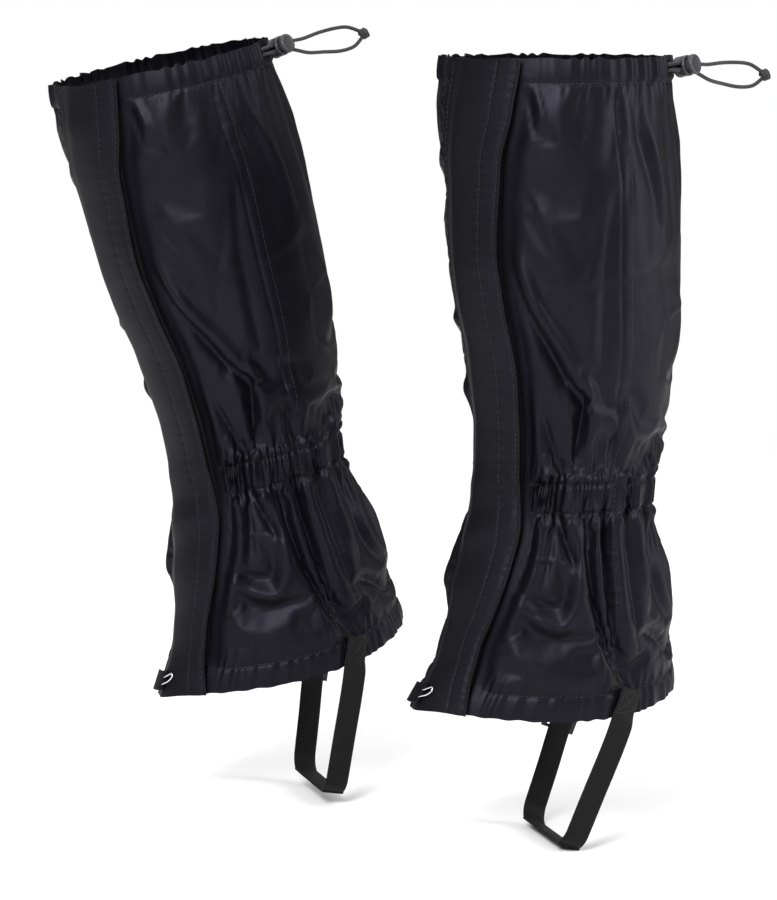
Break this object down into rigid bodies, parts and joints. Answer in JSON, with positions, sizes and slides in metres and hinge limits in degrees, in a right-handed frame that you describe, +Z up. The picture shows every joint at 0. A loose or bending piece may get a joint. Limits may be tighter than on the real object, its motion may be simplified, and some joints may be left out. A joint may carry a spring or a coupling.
{
  "type": "hiking gaiters",
  "caption": "Pair of knee-length fabric gaiters with front storm flap, gathered ankle, drawcord top with cord lock, lace hook and instep strap",
  "frame": {"origin": "middle of the calf opening of the left gaiter", "axes": "+Z up, toes point to -X, the outer side of the left gaiter faces -Y"},
  "size_m": [0.4281, 0.312, 0.5101],
  "materials": {
    "shell_fabric": "coated woven polyester, soft satin",
    "hook_and_loop": "matt",
    "elastic_cord": "braided",
    "elastic_band": "ribbed",
    "webbing": "woven",
    "strap_rubber": "matt, fine grain",
    "black_plastic": "moulded",
    "grey_plastic": "moulded, fine texture",
    "hook_steel": "polished wire",
    "spring_steel": "drawn wire"
  },
  "bodies": {
    "root": {"left_front_panel": "shell_fabric", "left_outer_panel": "shell_fabric", "left_rear_panel": "shell_fabric", "left_storm_flap": "shell_fabric", "left_hook_tape_middle": "hook_and_loop", "left_loop_tape": "hook_and_loop", "left_top_casing_outer": "shell_fabric", "left_top_casing_inner": "shell_fabric", "left_drawcord_upper": "elastic_cord", "left_drawcord_lower": "elastic_cord", "left_cord_knot": "elastic_cord", "left_ankle_elastic": "elastic_band", "left_bottom_hem": "shell_fabric", "left_bottom_hem_elastic": "elastic_band", "left_lace_hook": "hook_steel", "left_hook_tab": "webbing", "left_outer_strap_tab": "strap_rubber", "left_inner_strap_tab": "strap_rubber", "right_front_panel": "shell_fabric", "right_outer_panel": "shell_fabric", "right_rear_panel": "shell_fabric", "right_storm_flap": "shell_fabric", "right_hook_tape_middle": "hook_and_loop", "right_loop_tape": "hook_and_loop", "right_top_casing_outer": "shell_fabric", "right_top_casing_inner": "shell_fabric", "right_drawcord_upper": "elastic_cord", "right_drawcord_lower": "elastic_cord", "right_cord_knot": "elastic_cord", "right_ankle_elastic": "elastic_band", "right_bottom_hem": "shell_fabric", "right_bottom_hem_elastic": "elastic_band", "right_lace_hook": "hook_steel", "right_hook_tab": "webbing", "right_outer_strap_tab": "strap_rubber", "right_inner_strap_tab": "strap_rubber"},
    "left_flap_upper_corner": {"left_storm_flap_upper_corner": "shell_fabric", "left_hook_tape_upper": "hook_and_loop"},
    "left_flap_lower_corner": {"left_storm_flap_lower_corner": "shell_fabric", "left_hook_tape_lower": "hook_and_loop"},
    "left_cord_lock": {"left_cord_lock_barrel": "grey_plastic", "left_cord_lock_spring": "spring_steel"},
    "left_lock_plunger": {"left_cord_lock_plunger": "grey_plastic"},
    "left_strap": {"left_instep_strap": "strap_rubber", "left_strap_buckle": "black_plastic"},
    "right_flap_upper_corner": {"right_storm_flap_upper_corner": "shell_fabric", "right_hook_tape_upper": "hook_and_loop"},
    "right_flap_lower_corner": {"right_storm_flap_lower_corner": "shell_fabric", "right_hook_tape_lower": "hook_and_loop"},
    "right_cord_lock": {"right_cord_lock_barrel": "grey_plastic", "right_cord_lock_spring": "spring_steel"},
    "right_lock_plunger": {"right_cord_lock_plunger": "grey_plastic"},
    "right_strap": {"right_instep_strap": "strap_rubber", "right_strap_buckle": "black_plastic"}
  },
  "joints": [
    {"name": "left_flap_upper_peel", "type": "hinge", "parent": "root", "child": "left_flap_upper_corner", "pos_m": [-0.07677, -0.03199, 0], "axis": [0.1422, -0.0626, -0.9879], "range_deg": [0, 110]},
    {"name": "left_flap_lower_peel", "type": "hinge", "parent": "root", "child": "left_flap_lower_corner", "pos_m": [-0.0404, -0.04414, -0.2999], "axis": [-0.4323, 0.1738, -0.8848], "range_deg": [0, 90]},
    {"name": "left_cord_lock_slide", "type": "slide", "parent": "root", "child": "left_cord_lock", "axis": [0.7776, 0.6287, 0], "range_m": [0, 0.022], "deforming": ["left_drawcord_upper", "left_drawcord_lower"]},
    {"name": "left_plunger_press", "type": "slide", "parent": "left_cord_lock", "child": "left_lock_plunger", "axis": [-0.6167, 0.7627, -0.1949], "range_m": [0, 0.0016], "stiffness_N_per_m": 300, "springref_m": -0.002, "deforming": ["left_cord_lock_spring"]},
    {"name": "left_strap_swing", "type": "hinge", "parent": "root", "child": "left_strap", "pos_m": [0.029, 0, -0.413], "axis": [0, 1, 0], "range_deg": [-40, 25]},
    {"name": "right_flap_upper_peel", "type": "hinge", "parent": "root", "child": "right_flap_upper_corner", "pos_m": [-0.29095, 0.13801, -0.02262], "axis": [0.3526, -0.0626, -0.9337], "range_deg": [0, 110]},
    {"name": "right_flap_lower_peel", "type": "hinge", "parent": "root", "child": "right_flap_lower_corner", "pos_m": [-0.19053, 0.12586, -0.30754], "axis": [-0.2306, 0.1738, -0.9574], "range_deg": [0, 90]},
    {"name": "right_cord_lock_slide", "type": "slide", "parent": "root", "child": "right_cord_lock", "axis": [0.7592, 0.6287, 0.1683], "range_m": [0, 0.022], "deforming": ["right_drawcord_upper", "right_drawcord_lower"]},
    {"name": "right_plunger_press", "type": "slide", "parent": "right_cord_lock", "child": "right_lock_plunger", "axis": [-0.5599, 0.7627, -0.3238], "range_m": [0, 0.0016], "stiffness_N_per_m": 300, "springref_m": -0.002, "deforming": ["right_cord_lock_spring"]},
    {"name": "right_strap_swing", "type": "hinge", "parent": "root", "child": "right_strap", "pos_m": [-0.0983, 0.17, -0.40293], "axis": [0, 1, 0], "range_deg": [-40, 25]}
  ]
}
